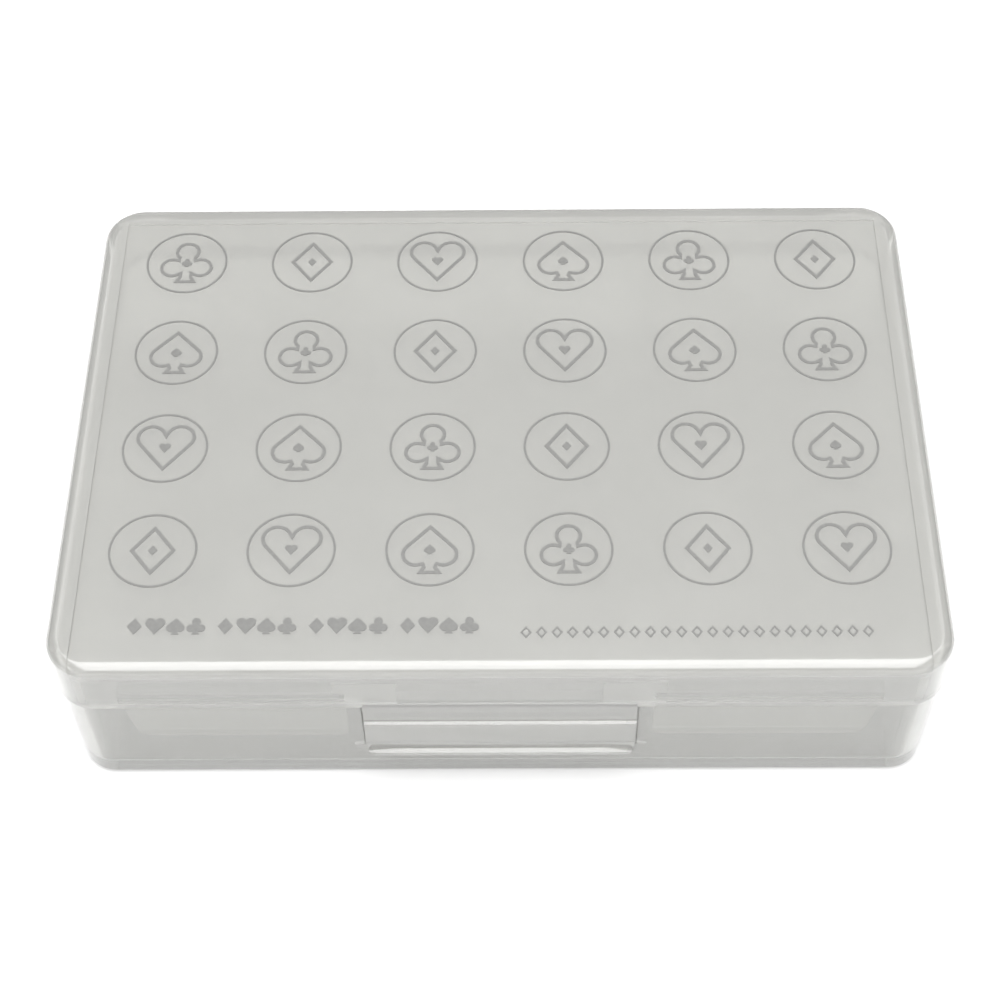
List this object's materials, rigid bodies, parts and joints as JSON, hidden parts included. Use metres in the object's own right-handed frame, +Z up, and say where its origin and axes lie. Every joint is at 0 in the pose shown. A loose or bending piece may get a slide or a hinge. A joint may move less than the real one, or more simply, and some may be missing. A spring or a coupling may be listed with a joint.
{
  "type": "card deck box",
  "caption": "Shallow translucent plastic box for a deck of playing cards, with a hinged lid, a front snap tab and a grid of round medallions printed on top.",
  "frame": {"origin": "centre of the closed case's bounding box, on its underside", "axes": "+X along the long side to the right seen from the front, +Y to the back, where the hinge is, +Z up"},
  "size_m": [0.104, 0.0736, 0.0248],
  "materials": {
    "frosted_pp": "natural milky translucent polypropylene, fine satin texture outside",
    "grey_ink": "thin matte pad-printed ink"
  },
  "bodies": {
    "base": {"base_tray": "frosted_pp", "hinge_web": "frosted_pp"},
    "lid": {"lid_shell": "frosted_pp", "lid_print": "grey_ink", "tab_flexure": "frosted_pp"},
    "tab": {"latch_tab": "frosted_pp"}
  },
  "joints": [
    {"name": "lid_hinge", "type": "hinge", "parent": "base", "child": "lid", "pos_m": [0, 0.03662, 0.0164], "axis": [-1, 0, 0], "range_deg": [0, 178], "deforming": ["hinge_web"]},
    {"name": "tab_flex", "type": "hinge", "parent": "lid", "child": "tab", "pos_m": [0, -0.03547, 0.0145], "axis": [-1, 0, 0], "range_deg": [0, 12], "stiffness_Nm_per_rad": 0.08, "deforming": ["tab_flexure"]}
  ]
}
